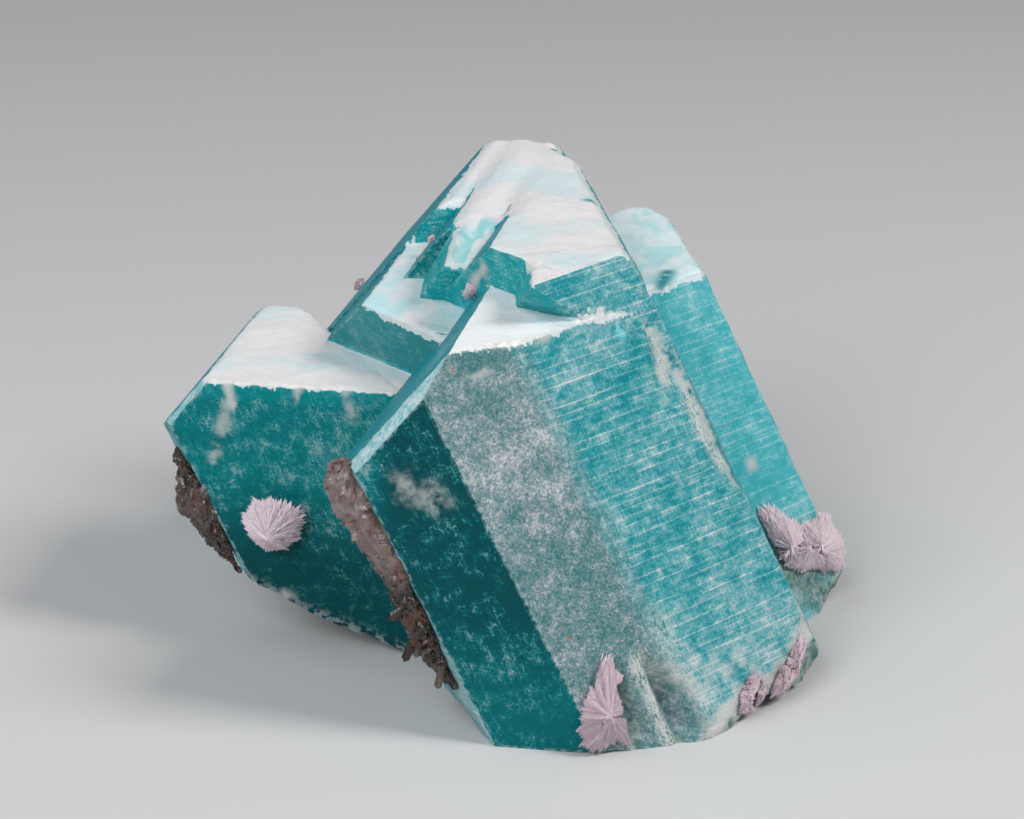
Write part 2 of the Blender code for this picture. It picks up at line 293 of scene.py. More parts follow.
net = Net(solid_points)
outlines, kinds = [], []
for triangle, normal, kind in zip(solid_faces, solid_normals, solid_kinds):
    cells = net.cut_face(triangle, normal, 1 if kind in FRONT_KINDS else 2)
    outlines += cells
    kinds += [kind] * len(cells)
points = np.array(net.points)


def edges_between(wanted):
    """Net points along the solid's convex edges whose two faces the test accepts."""
    sides = {}
    for number, triangle in enumerate(solid_faces):
        for index in range(3):
            start, end, apex = triangle[index], triangle[(index + 1) % 3], triangle[index - 1]
            sides.setdefault((min(start, end), max(start, end)), []).append((number, apex))
    found = set()
    for (start, end), ((one, _), (other, apex)) in sides.items():
        rise = np.dot(solid_normals[one], solid_points[apex] - solid_points[start])
        turn = np.dot(solid_normals[one], solid_normals[other])
        if rise < -0.001 and turn < EDGE_TURN and wanted(solid_kinds[one], solid_kinds[other]):
            found.update([*net.chain(start, end), end])
    return sorted(found)


def distance_to(spots, limit):
    """How far each net point is from the nearest of some net points, up to a limit in mm."""
    tree = kdtree.KDTree(len(spots))
    for number, spot in enumerate(spots):
        tree.insert(points[spot], number)
    tree.balance()
    return np.array([min(tree.find(point)[2], limit) for point in points])


worn_edges = edges_between(lambda one, other: not one == other == "broken")
rim_edges = edges_between(lambda one, other: (one == "cap") != (other == "cap"))
soft_edges = edges_between(lambda one, other: {one, other} == {"bevel", "bright"})
edge_distance = distance_to(worn_edges, 6.0)
rim_distance = distance_to(rim_edges, 12.0)
soft_distance = distance_to(soft_edges, 6.0)


def smooth(value):
    value = np.clip(value, 0.0, 1.0)
    return value * value * (3.0 - 2.0 * value)


def near_path(path, radius):
    """1 on a path of points, or round a single one, falling to 0 at a radius from it."""
    closest = np.full(len(points), 1e9)
    for start, end in zip(path, path[1:] or path):
        start, along = np.array(start), np.array(end) - np.array(start)
        share = np.clip((points - start) @ along / max(along @ along, 1e-9), 0.0, 1.0)
        closest = np.minimum(closest, np.linalg.norm(points - start - share[:, None] * along, axis=1))
    return smooth(1.0 - closest / radius)


def grain(size, seed=0.0, stretch=(1.0, 1.0, 1.0)):
    """Noise of a given size in mm at every net point, from -1 to 1."""
    places = points / (size * np.array(stretch)) + seed
    return np.array([noise.noise(place) for place in places])


# Broken edges: down the taller crystal's front corner, and along the foot at the lower right
CORNER_BREAK = [(5.4, 27.8, 53.4), (11.0, 29.5, 44.1), (18.1, 30.5, 30.8)]
FOOT_BREAK = [(29.0, 33.0, 12.0), (28.7, 28.9, 6.9), (25.8, 22.0, 3.4), (20.9, 14.5, 2.6)]
# Places that are broken or crumbly, with how far they reach and how deep they are eaten
BREAKS = [
    (CORNER_BREAK, 3.2, 0.9),
    ([(-6.0, 17.0, 58.2), (-1.0, 21.4, 57.6), (3.0, 24.6, 55.4)], 2.8, 0.5),
    ([(22.0, 53.0, 9.0), (31.0, 58.0, 2.0)], 6.5, 0.8),
    (FOOT_BREAK, 2.4, 0.5),
    ([(-59.5, 28.0, 15.0), (-55.0, 28.0, 10.3), (-45.9, 28.0, 5.8), (-31.0, 28.0, 0.5)], 2.2, 0.6),
]
# Valleys down the bevel's foot: top, bottom, reach to the left and to the right, depth
FLUTES = [
    ((3.0, 2.4, 13.5), (8.6, 2.2, -1.0), 1.2, 3.4, 1.5),
    ((7.2, 5.2, 14.2), (14.9, 5.6, -1.0), 1.2, 5.2, 3.2),
]
# Where two plates of the crown run into one another, with a reach
SEAMS = [
    ([(-17.9, 50.0, 63.6), (-17.9, 84.0, 63.6)], 3.4),
    ([(-26.0, 50.0, 62.4), (-26.0, 90.0, 63.0)], 3.4),
    ([(-15.5, 43.0, 63.0), (-17.6, 52.0, 63.4), (-19.3, 61.0, 63.4)], 3.0),
    ([(-18.1, 76.6, 63.6), (-22.8, 90.8, 62.6)], 3.4),
    ([(-26.0, 49.3, 61.6), (-19.5, 49.3, 61.6)], 2.4),
]
# How far the planes of two faces lie from the foot, and how wide the rounded and the worn edges are
BEVEL_REACH = 1.45
BRIGHT_REACH = 10.0
SOFT_REACH = 2.4
WORN_REACH = 0.9
FLUTE_REACH = 4.5

breaks = np.zeros(len(points))
depths = np.zeros(len(points))
for path, radius, depth in BREAKS:
    weight = near_path(path, radius)
    breaks = np.maximum(breaks, weight)
    depths = np.maximum(depths, weight * depth)
rounding = np.maximum(smooth(1.0 - soft_distance / SOFT_REACH), 0.7 * breaks)
crown = smooth((points[:, 2] - 42.5) / 2.0) * (points[:, 1] > 20.0) * (points[:, 0] > -36.0)
rounding = np.maximum(rounding, (0.35 + 0.45 * crown) * smooth(1.0 - rim_distance / (0.7 + 0.7 * crown)))

bevel_normal = np.array(FACES["bevel"][0])
bright_normal = np.array(FACES["bright"][0])
under_bevel = (BEVEL_REACH - points @ bevel_normal) / (bevel_normal @ bevel_normal)
under_bright = (BRIGHT_REACH - points @ bright_normal) / (bright_normal @ bevel_normal)
slack = np.minimum(under_bevel, under_bright)
fluted = np.zeros(len(points))
for top, bottom, *_ in FLUTES:
    fluted = np.maximum(fluted, near_path([top, bottom], FLUTE_REACH) > 0.0)
fluted *= (slack > -0.1) & (slack < 2.2) & (points[:, 2] > 0.5)

loops = np.concatenate([np.array(outline) for outline in outlines])
sizes = np.array([len(outline) for outline in outlines])
starts = np.concatenate([[0], np.cumsum(sizes)[:-1]])
followers = np.arange(len(loops)) + 1
followers[starts + sizes - 1] = starts
face_of_loop = np.repeat(np.arange(len(sizes)), sizes)
ends = loops[followers]


def relax(points, weight, rounds):
    """Pulls points towards the middle of their neighbours, which rounds the edges between them."""
    count = np.bincount(loops, minlength=len(points))[:, None]
    for _ in range(rounds):
        total = np.stack([np.bincount(loops, points[ends, axis], len(points)) for axis in range(3)], 1)
        points = points + weight[:, None] * (total / count - points)
    return points


def point_normals(points):
    face_normals = np.add.reduceat(np.cross(points[loops], points[ends]), starts)
    spread = face_normals[face_of_loop]
    return unit(np.stack([np.bincount(loops, spread[:, axis], len(points)) for axis in range(3)], 1))


merged = np.max([near_path(path, reach) for path, reach in SEAMS], axis=0)
merged = smooth(merged * smooth((points[:, 2] - 58.6) / 1.4) * 2.0)
points = relax(points, 0.5 * merged, 90)
points = relax(points, 0.55 * rounding, 14)
peak = crown * smooth((points[:, 2] - 54.5) / 2.5) * smooth(1.0 - rim_distance / 2.4)
points = relax(points, 0.5 * peak, 30)
outward = point_normals(points)
fluted *= outward[:, 2] > -0.45
points = points + (fluted * slack)[:, None] * bevel_normal
points = relax(points, 0.5 * fluted, 6)
outward = point_normals(points)


def valley_depth(top, bottom, left, right, depth):
    """How deep a rounded valley is under each point, in mm: steep on one side and gentle on the other."""
    top, along = np.array(top), np.array(bottom) - np.array(top)
    share = (points - top) @ along / (along @ along)
    sideways = np.cross(bevel_normal, along)
    sideways /= np.linalg.norm(sideways)
    across = (points - top - np.clip(share, 0.0, 1.1)[:, None] * along) @ sideways
    width = np.where(across < 0.0, left, right) * (0.35 + 0.65 * smooth(share * 1.4))
    near = smooth(2.0 - np.abs((points - top) @ bevel_normal) / 2.5) * smooth(points[:, 2] / 2.5 + 0.15)
    return depth * smooth(share * 1.5 + 0.05) * smooth(1.0 - np.abs(across) / width) * near


point_kinds = np.zeros(len(points), int)
kind_numbers = np.array([KINDS.index(kind) for kind in kinds])
kind_numbers[np.minimum.reduceat(fluted[loops], starts) > 0.5] = KINDS.index("bevel")
kind_numbers[np.minimum.reduceat(merged[loops], starts) > 0.5] = KINDS.index("cap")
point_kinds[loops] = kind_numbers[face_of_loop]


def on_face(kind):
    return point_kinds == KINDS.index(kind)


inside = smooth(edge_distance / 1.4)
wide, middle, fine = grain(7.0, 3.1), grain(2.6, 11.7), grain(1.1, 5.3)
ledges = grain(1.5, 8.2, (6.0, 6.0, 0.6))
relief = np.zeros(len(points))
relief += on_face("cap") * (0.22 * wide + 0.12 * middle + 0.05 * fine)
relief += on_face("wall") * (0.12 * wide + 0.05 * ledges)
relief += on_face("bevel") * (0.14 * wide + 0.07 * middle + 0.07 * fine)
relief += on_face("bright") * (0.15 * wide + 0.05 * middle + 0.09 * ledges)
relief += (on_face("slope") + on_face("riser")) * (0.10 * wide + 0.07 * middle + 0.04 * ledges)
relief += on_face("dome") * 0.05 * wide
relief += (on_face("side") + on_face("rear")) * (0.30 * wide + 0.12 * middle + 0.12 * ledges)
relief *= inside
lifted = smooth(points[:, 2] / 1.2)
relief += on_face("broken") * lifted * (0.45 * wide + 0.45 * middle + 0.30 * fine)

chips = 0.06 + 0.22 * np.maximum(middle + 0.15, 0.0) + 0.75 * np.maximum(grain(3.4, 20.4) - 0.38, 0.0)
worn = smooth(1.0 - edge_distance / WORN_REACH) * (1.0 - merged)
relief -= worn * chips * lifted
steps = np.round(grain(1.7, 31.0, (1.0, 1.0, 1.8)) * 2.5) / 2.5
relief -= depths * lifted * (0.45 + 0.55 * steps + 0.35 * fine)
points = points + outward * relief[:, None]
for flute in FLUTES:
    points = points - (valley_depth(*flute) * smooth(outward @ bevel_normal * 2.5))[:, None] * bevel_normal
near_flutes = np.max([near_path([top, bottom], 5.0) for top, bottom, *_ in FLUTES], axis=0)
points = relax(points, 0.45 * smooth(near_flutes * 3.0) * smooth((7.0 - points[:, 2]) / 4.0), 5)
points[:, 2] = np.maximum(points[:, 2], 0.0)


def piece_from(name, points, faces):
    """An object from points in mm measured from the foot."""
    mesh = bpy.data.meshes.new(name)
    mesh.from_pydata((points + FOOT) * MM, [], faces)
    return new_object(name, mesh)


def add_values(mesh, name, domain, values):
    mesh.attributes.new(name, "FLOAT", domain).data.foreach_set("value", np.asarray(values, np.float32))


crystals = piece_from("amazonite_cluster", points, outlines)
crystals.data.shade_smooth()
crystals.data.set_sharp_from_angle(angle=math.radians(26.0))
kind_masks = {kind: kind_numbers[face_of_loop] == number for number, kind in enumerate(KINDS)}
for kind, mask in kind_masks.items():
    add_values(crystals.data, kind, "CORNER", mask)
# The sparkle of the bevel runs over the soft edge into the striped face
half = 0.5 * smooth(soft_distance / SOFT_REACH)[loops]
glitter = kind_masks["bevel"] * (0.5 + half) + kind_masks["bright"] * (0.5 - half)
add_values(crystals.data, "sparkle", "CORNER", glitter)
add_values(crystals.data, "edge", "POINT", edge_distance + 3.0 * merged)
add_values(crystals.data, "rim", "POINT", rim_distance + 3.0 * merged)
add_values(crystals.data, "crumble", "POINT", breaks)
add_values(crystals.data, "crown", "POINT", crown)

# Places where the colour differs: a path, or one point, its radius and its strength
PATCHES = {
    # chalky spots and streaks
    "pale": [
        ([(7.2, 26.0, 47.3)], 2.6, 0.9),
        ([(17.5, 55.1, 23.5)], 2.4, 0.8),
        ([(-48.9, 28.0, 7.5)], 2.6, 0.9),
        ([(-24.5, 0.0, 38.4), (-20.0, 0.0, 36.5)], 4.0, 0.55),
        ([(-33.4, 0.0, 38.8), (-29.6, 0.0, 30.5), (-26.2, 0.0, 24.0)], 2.6, 1.0),
        ([(-21.6, 34.9, 56.5), (-19.0, 31.6, 60.2)], 1.6, 1.0),
        ([(-56.4, 28.0, 39.5), (-59.3, 28.0, 29.1)], 1.8, 0.6),
        ([(-2.0, 20.2, 58.3)], 1.0, 0.9),
        ([
            (28.6, 32.3, 11.7), (28.7, 28.9, 6.9), (25.8, 22.0, 3.4), (20.9, 14.5, 3.2), (16.4, 5.4, 0.1),
        ], 3.4, 0.9),
        ([(5.4, 27.8, 53.4), (8.0, 28.4, 48.8), (11.0, 29.5, 44.1), (18.1, 30.5, 30.8)], 2.2, 0.8),
        ([(-16.0, 3.0, 53.0), (-4.0, 15.0, 58.0)], 1.4, 0.7),
        ([(9.6, 5.2, 10.0), (11.8, 4.2, 0.0)], 1.5, 0.5),
        ([(9.5, 4.0, 10.0), (13.5, 9.0, 8.0), (20.0, 16.0, 8.0)], 6.0, 0.45),
        ([(-56.9, 28.0, 41.5), (-56.1, 28.0, 37.8)], 1.5, 0.95),
        ([(-46.3, 28.0, 41.5), (-46.2, 28.0, 39.2)], 1.5, 0.7),
        ([(-39.4, 28.0, 41.5), (-38.0, 28.0, 36.5)], 1.4, 0.6),
    ],
    # brown stains
    "tan": [
        ([(-17.7, 2.8, 54.5)], 2.0, 0.8),
        ([(7.2, 26.0, 47.3)], 2.2, 0.25),
        ([(-12.0, 26.0, 64.0), (3.0, 35.0, 64.0)], 1.6, 0.6),
        ([(-13.5, 6.0, 57.0), (-4.0, 13.0, 57.2)], 1.6, 0.5),
        ([(8.5, 29.5, 50.0), (14.5, 31.5, 38.0), (19.0, 32.0, 30.8)], 1.2, 0.7),
        ([(3.9, 60.0, 51.6), (2.0, 68.0, 51.6)], 2.2, 0.5),
    ],
    # specks of iron oxide
    "rust": [
        ([(-1.5, 1.7, 16.9)], 0.55, 1.0),
        ([(-2.6, 1.5, 18.2)], 0.5, 0.9),
        ([(14.7, 7.1, 6.1)], 0.5, 0.8),
        ([(4.8, 20.8, 45.0)], 0.5, 0.6),
        ([(6.2, 3.4, 9.8)], 0.5, 0.7),
    ],
    # clear and bright blue-green
    "glow": [
        ([(1.8, 23.3, 54.6)], 2.0, 1.0),
        ([(-8.0, 17.0, 58.0)], 2.4, 0.3),
    ],
    # clear and deep blue-green
    "deep": [
        ([(-7.6, 54.8, 64.0)], 1.8, 1.0),
        ([(3.4, 54.0, 51.6), (3.4, 60.5, 51.6)], 2.0, 1.0),
    ],
    # freshly broken
    "bare": [
        ([(22.5, 52.5, 9.5), (30.5, 57.5, 2.0)], 6.0, 1.0),
        (FOOT_BREAK, 2.4, 0.7),
        ([(5.0, 3.6, 11.0), (8.0, 3.0, 0.0)], 2.4, 0.5),
    ],
    # white and grainy
    "frosted": [
        ([(6.6, 27.2, 50.2), (8.2, 27.0, 46.0)], 1.9, 0.8),
        ([(11.0, 28.9, 43.2), (12.8, 28.4, 38.7), (15.9, 29.2, 33.2)], 2.1, 1.0),
        ([(7.4, 5.0, 12.4), (9.4, 5.0, 8.0), (11.0, 5.0, 3.9), (12.3, 4.9, 0.0)], 2.2, 1.0),
        ([(10.6, 8.4, 17.0), (12.6, 8.1, 13.1), (16.0, 7.8, 7.3), (19.5, 10.0, 2.0)], 3.6, 0.45),
        ([(27.0, 31.8, 14.4), (28.3, 32.0, 11.8), (29.4, 31.4, 9.0), (28.8, 29.2, 7.2)], 1.8, 0.8),
        ([(30.7, 60.8, 4.0), (31.6, 60.4, 1.7), (30.1, 57.7, 1.1)], 2.0, 0.9),
    ],
    # painted shade: dull dark green in the valleys at the bevel's foot and low down under the right spray
    "green_shade": [
        ([
            (7.8, 5.5, 13.4), (9.5, 5.5, 9.5), (11.8, 5.7, 5.7), (13.8, 5.8, 2.0), (15.0, 5.8, -0.6),
        ], 1.2, 1.0),
        ([(10.5, 6.4, 11.4), (13.3, 6.8, 6.9), (15.9, 7.0, 2.4), (17.1, 6.9, -0.6)], 3.0, 0.7),
        ([(5.6, 3.0, 10.0), (8.2, 3.0, 0.0)], 1.1, 0.8),
        ([(24.0, 52.0, 6.0), (27.5, 55.0, 4.6), (29.0, 57.0, 4.0)], 3.4, 0.8),
        ([(24.5, 51.5, 2.5), (28.0, 55.5, 0.8)], 2.0, 0.8),
    ],
    # the front cap's narrow ledge, which is worn like the striped face
    "worn_ledge": [
        ([(-3.4, 22.9, 57.2), (-1.3, 24.8, 57.2), (1.8, 27.7, 57.2), (4.9, 30.6, 57.2)], 2.8, 1.0),
    ],
}
for name, places in PATCHES.items():
    strengths = [strength * near_path(path, radius) for path, radius, strength in places]
    add_values(crystals.data, name, "POINT", np.max(strengths, axis=0))


def seen(red, green, blue):
    """A shader colour from the screen values of a colour."""
    parts = [part / 255.0 for part in (red, green, blue)]
    return tuple(part / 12.92 if part <= 0.04045 else ((part + 0.055) / 1.055) ** 2.4 for part in parts)


class Finish:
    """A procedural material. Its nodes take other nodes' outputs, numbers and screen colours of 0 to 255."""

    def __init__(self, name):
        self.material = bpy.data.materials.new(name)
        self.material.use_nodes = True
        self.tree = self.material.node_tree
        self.shader = self.tree.nodes["Principled BSDF"]
        place = self.tree.nodes.new("ShaderNodeTexCoord").outputs["Object"]
        self.mm = self.vector("MULTIPLY", place, (1.0 / MM, 1.0 / MM, 1.0 / MM))

    def fill(self, node, inputs):
        """Sets or links inputs of a node, given by name or number."""
        for key, value in inputs.items():
            socket = node.inputs[key]
            if isinstance(value, bpy.types.NodeSocket):
                self.tree.links.new(value, socket)
            elif socket.type == "RGBA":
                socket.default_value = (*seen(*value), 1.0)
            else:
                socket.default_value = value
        return node

    def node(self, kind, inputs, **settings):
        node = self.tree.nodes.new("ShaderNode" + kind)
        for name, setting in settings.items():
            setattr(node, name, setting)
        return self.fill(node, inputs)

    def math(self, operation, *values):
        return self.node("Math", dict(enumerate(values)), operation=operation).outputs["Value"]

    def vector(self, operation, *values):
        node = self.node("VectorMath", dict(enumerate(values)), operation=operation)
        return node.outputs["Value" if operation == "DOT_PRODUCT" else "Vector"]

    def times(self, total, *others):
        for value in others:
            total = self.math("MULTIPLY", total, value)
        return total

    def plus(self, total, *others):
        for value in others:
            total = self.math("ADD", total, value)
        return total

    def attribute(self, name):
        return self.node("Attribute", {}, attribute_name=name).outputs["Fac"]

    def band(self, value, low, high):
        """0 below low, 1 above high, smooth between. With low above high it falls instead."""
        inputs = {"Value": value, "From Min": low, "From Max": high}
        return self.node("MapRange", inputs, interpolation_type="SMOOTHSTEP").outputs["Result"]

    def blend(self, share, first, second):
        return self.node("Mix", {0: share, 6: first, 7: second}, data_type="RGBA").outputs[2]

    def tinted(self, colour, *tints):
        """A colour with others laid over it, each as a mask, its strength and the colour."""
        for mask, strength, tone in tints:
            colour = self.blend(self.times(mask, strength), colour, tone)
        return colour

    def ramp(self, value, *stops):
        """A colour from a value, through (value, colour) stops."""
        node = self.node("ValToRGB", {"Fac": value})
        elements = node.color_ramp.elements
        while len(elements) < len(stops):
            elements.new(0.5)
        for element, (position, tone) in zip(elements, stops):
            element.position = position
            element.color = (*seen(*tone), 1.0)
        return node.outputs["Color"]

    def texture(self, kind, size, stretch=(1.0, 1.0, 1.0), shift=0.0, where=None, **settings):
        """A texture node whose pattern has a size in mm."""
        scale = tuple(1.0 / (size * part) for part in stretch)
        moved = self.vector("MULTIPLY_ADD", where or self.mm, scale, (shift, shift, shift))
        return self.node(kind, {"Vector": moved, "Scale": 1.0}, **settings)

    def cloud(self, size, detail=3.0, stretch=(1.0, 1.0, 1.0), shift=0.0, warp=0.0, where=None):
        """Noise of a size in mm, about 0.5 on average."""
        node = self.texture("TexNoise", size, stretch, shift, where)
        return self.fill(node, {"Detail": detail, "Distortion": warp}).outputs["Fac"]

    def cells(self, size):
        """A random value for each cell of a size in mm."""
        colours = self.texture("TexVoronoi", size).outputs["Color"]
        return self.node("SeparateColor", {"Color": colours}).outputs["Red"]

    def veins(self, size, stretch, width):
        """Thin lines between cells of a size in mm, 1 on a line and 0 beside it."""
        node = self.texture("TexVoronoi", size, stretch, feature="DISTANCE_TO_EDGE")
        return self.band(node.outputs["Distance"], width, 0.0)

    def raised(self, height, depth_mm):
        """Bumps from a height of 0 to 1."""
        node = self.node("Bump", {"Height": height, "Distance": depth_mm * MM})
        self.fill(self.shader, {"Normal": node.outputs["Normal"]})


stone = Finish("amazonite_stone")
times, plus, band = stone.times, stone.plus, stone.band
blend, tinted, cloud = stone.blend, stone.tinted, stone.cloud
face = {kind: stone.attribute(kind) for kind in KINDS}
place = {name: stone.attribute(name) for name in PATCHES}
edge = stone.attribute("edge")
rim = stone.attribute("rim")
crumble = stone.attribute("crumble")
sparkle = stone.attribute("sparkle")
east, north, height = stone.node("SeparateXYZ", {"Vector": stone.mm}).outputs
along_c = stone.vector("DOT_PRODUCT", stone.mm, tuple(C_AXIS))
across_c = stone.vector("DOT_PRODUCT", stone.mm, tuple(CUTS[2]))
grown = stone.node("CombineXYZ", {0: across_c, 1: north, 2: along_c}).outputs["Vector"]

drift = cloud(13.0, 2.0)
blot = cloud(2.6, 3.0, shift=7.0)
patch = cloud(0.95, 2.0, shift=3.0)
frost = cloud(0.34, 2.0, shift=9.0, warp=0.5)
flat_streak = cloud(0.40, 2.0, (5.0, 5.0, 0.7), 5.0, warp=0.4)
steep_streak = cloud(0.36, 2.0, (1.0, 1.0, 4.5), 2.0, where=grown)
swirl = cloud(1.5, 3.0, shift=29.0, warp=1.6)

# Milky stripes parallel to the caps, each with its own strength and gaps
STRIPE_SPACING = 1.28
uneven = cloud(4.0, 0.0, (200.0, 200.0, 1.0))
level = plus(times(height, 1.0 / STRIPE_SPACING), times(uneven, 2.0), times(patch, 0.16))
from_line = stone.math("ABSOLUTE", stone.math("SUBTRACT", stone.math("FRACT", level), 0.5))
gaps = band(cloud(1.9, 2.0, (6.0, 6.0, 0.5), 13.0), 0.30, 0.60)
stripes = times(band(from_line, 0.13, 0.02), gaps)
blocks = cloud(1.1, 2.0, (1.9, 1.9, 0.6), 23.0)


def milk(base, *amounts):
    """Milkiness of the stone from a base value and (noise, amount) pairs."""
    return plus(base, *[times(plus(grains, -0.5), amount) for grains, amount in amounts])


def zone(*limits):
    """1 where every value is inside its limits, as (value, outer limit, inner limit), and 0 elsewhere."""
    return times(*[band(*limit) for limit in limits])


# Caps
cap_patch = cloud(3.2, 3.0, (1.0, 2.6, 1.0), 37.0, warp=0.6)
rear_cap = zone((north, 2.0, 5.0), (height, 54.0, 53.0), (east, 3.0, 8.0))
step_cap = zone((height, 53.9, 53.5), (height, 49.4, 50.4), (east, 0.0, -5.0), (cap_patch, 0.40, 0.58))
knob_cap = zone((height, 62.0, 61.4), (height, 58.0, 58.6), (north, 6.0, 3.0), (cap_patch, 0.60, 0.42))
lower_rim = zone((rim, 1.1, 0.3), (north, -16.0, -18.0))
tan_rim = times(zone((rim, 0.3, 0.7), (rim, 1.7, 1.1)), place["tan"])
tan_line = times(plus(tan_rim, times(lower_rim, 0.5)), band(patch, 0.36, 0.56))
porcelain = tinted(
    blend(band(drift, 0.46, 0.62), (232, 230, 231), (212, 228, 231)),
    (band(blot, 0.52, 0.68), 0.5, (232, 222, 222)),
    (rear_cap, 0.75, (222, 242, 246)),
    (times(rear_cap, band(cap_patch, 0.44, 0.62)), 0.6, (160, 224, 230)),
    (step_cap, 0.6, (176, 226, 232)),
    (knob_cap, 0.8, (110, 196, 200)),
    # painted light: the front crystal's cap, at 57 mm, is whitened to lift the shade that the crown casts on
    # it
    (zone((height, 57.9, 57.6), (height, 56.0, 56.6)), 0.8, (243, 246, 248)),
    (band(swirl, 0.44, 0.32), 0.22, (190, 210, 214)),
    (band(frost, 0.56, 0.72), 0.25, (240, 242, 243)),
    (tan_line, 0.55, (198, 182, 162)),
)

# Walls
left_crystal = zone((east, -7.0, -13.0), (height, 10.0, 30.0))
foot_glow = zone((height, 22.0, 4.0), (north, -40.0, -44.0))
behind_front = band(north, -22.0, -20.0)
# Painted shade: the front of the step between 42 and 50 mm is darkened to a greyer teal
step_front_shade = times(zone((height, 50.8, 50.2), (height, 41.6, 42.4), (east, -2.0, -6.0)), behind_front)
left_foot = times(zone((height, 26.0, 10.0), (north, -16.0, -18.0)), behind_front)
under_cap = band(plus(rim, times(blot, 2.0)), 4.6, 2.6)
crackle = plus(stone.veins(1.7, (1.0, 1.0, 1.5), 0.06), stone.veins(0.9, (1.6, 1.6, 0.7), 0.05))
wall_grain = milk(0.02, (frost, 1.1), (flat_streak, 0.45), (steep_streak, 1.1))
wall_milk = plus(
    milk(wall_grain, (blot, 1.3), (patch, 0.7), (drift, 1.0)),
    times(left_crystal, 0.38),
    times(foot_glow, 0.10),
    times(stripes, 0.08),
    times(crackle, band(blot, 0.36, 0.66), 0.34),
)
teal = stone.ramp(
    wall_milk,
    (0.0, (0, 76, 82)),
    (0.20, (0, 86, 92)),
    (0.42, (12, 112, 115)),
    (0.68, (90, 140, 142)),
    (1.0, (160, 176, 177)),
)
wall = tinted(
    teal,
    (left_crystal, 0.40, (0, 152, 156)),
    (foot_glow, 0.45, (0, 128, 132)),
    (times(under_cap, left_crystal), 0.5, (0, 150, 152)),
    (step_front_shade, 0.6, (52, 121, 126)),
    (left_foot, 0.6, (0, 66, 70)),
)

# Striped faces
bright_milk = plus(
    milk(0.43, (frost, 0.8), (steep_streak, 0.5), (blocks, 0.9), (blot, 0.8), (drift, 0.9)),
    times(stripes, 0.34),
    times(zone((height, 30.0, 4.0), (drift, 0.3, 0.6)), 0.16),
)
striped = stone.ramp(
    bright_milk,
    (0.0, (14, 129, 139)),
    (0.26, (40, 145, 154)),
    (0.50, (90, 166, 173)),
    (0.76, (152, 188, 193)),
    (1.0, (204, 214, 216)),
)
# Painted light: the rear crystal's striped face is brightened towards cyan
rear_crystal_painted_light = zone((north, 3.5, 5.5), (height, 51.8, 51.4))
striped = tinted(striped, (rear_crystal_painted_light, 0.35, (96, 217, 228)))

# The sparkling bevel: grey stone with pale grains in its colour, which partly are painted glints of its
# etched surface
grit_glint_cells = stone.cells(0.30)
grit_glint_milk = plus(
    milk(0.46, (frost, 1.5), (grit_glint_cells, 0.20), (patch, 0.9), (blot, 0.9), (drift, 0.8)),
    times(band(rim, 5.0, 1.0), -0.15),
)
grit_and_glints = stone.ramp(
    grit_glint_milk,
    (0.0, (64, 121, 123)),
    (0.30, (98, 138, 141)),
    (0.55, (134, 156, 160)),
    (0.78, (173, 181, 186)),
    (1.0, (202, 203, 207)),
)

# Slopes, domes, risers, the faces at the back and the raw broken ground
slope_milk = milk(0.52, (swirl, 2.2), (frost, 0.8), (steep_streak, 0.8), (drift, 0.6))
slope = stone.ramp(slope_milk, (0.0, (90, 190, 200)), (0.5, (160, 208, 214)), (1.0, (224, 232, 235)))
dome_milk = milk(0.26, (steep_streak, 1.6), (flat_streak, 0.9), (drift, 0.9))
dome = stone.ramp(dome_milk, (0.0, (4, 130, 144)), (0.4, (44, 160, 170)), (1.0, (170, 206, 212)))
riser_milk = milk(0.36, (frost, 1.1), (blot, 1.1), (flat_streak, 0.9), (drift, 0.8))
bright_teal = [(0.0, (0, 150, 156)), (0.35, (22, 166, 171)), (0.65, (118, 190, 194)), (1.0, (206, 220, 222))]
riser = tinted(
    stone.ramp(riser_milk, *bright_teal),
    (under_cap, 0.4, (0, 168, 171)),
    (step_front_shade, 0.6, (52, 121, 126)),
)
back = blend(0.25, striped, (60, 150, 156))
raw_milk = milk(0.5, (frost, 0.9), (patch, 1.2), (blot, 1.6))
raw = stone.ramp(raw_milk, (0.0, (64, 112, 110)), (0.45, (114, 140, 137)), (1.0, (184, 192, 186)))

colour = blend(sparkle, striped, grit_and_glints)
tones = {"wall": wall, "slope": slope, "dome": dome, "riser": riser, "side": back, "rear": back}
for kind, tone in tones.items():
    colour = blend(face[kind], colour, tone)
colour = blend(stone.math("MAXIMUM", face["broken"], place["bare"]), colour, raw)

# White that spills over from the caps, pale worn edges, and patches
spill = plus(rim, milk(0.0, (blot, 2.6), (patch, 2.4)), times(stone.attribute("crown"), -0.7))
softly = plus(blot, times(patch, 0.4), times(place["pale"], 0.35))
colour = tinted(
    colour,
    (band(spill, 0.45, 0.15), 0.92, (222, 229, 231)),
    (zone((edge, 0.5, 0.12), (patch, 0.42, 0.60)), 0.45, (176, 200, 200)),
    (times(crumble, band(patch, 0.44, 0.58)), 0.42, (200, 214, 216)),
    # painted shade in the bevel's valleys and under the right spray
    (times(place["green_shade"], band(frost, 0.74, 0.56)), 0.85, (62, 114, 108)),
    (times(place["frosted"], band(plus(steep_streak, frost), 0.84, 1.06)), 1.0, (204, 207, 203)),
    (times(place["pale"], band(softly, 0.66, 0.98)), 1.0, (206, 206, 204)),
    (face["cap"], 1.0, porcelain),
    (band(plus(times(place["worn_ledge"], 1.6), times(patch, 0.5)), 0.45, 0.75), 1.0, striped),
    (times(place["tan"], band(patch, 0.40, 0.62)), 0.45, (190, 170, 152)),
    (times(place["glow"], band(patch, 0.34, 0.6)), 0.8, (120, 222, 226)),
    (times(place["deep"], band(blot, 0.3, 0.5)), 1.0, (10, 138, 146)),
    (band(place["rust"], 0.15, 0.6), 1.0, (158, 104, 68)),
)
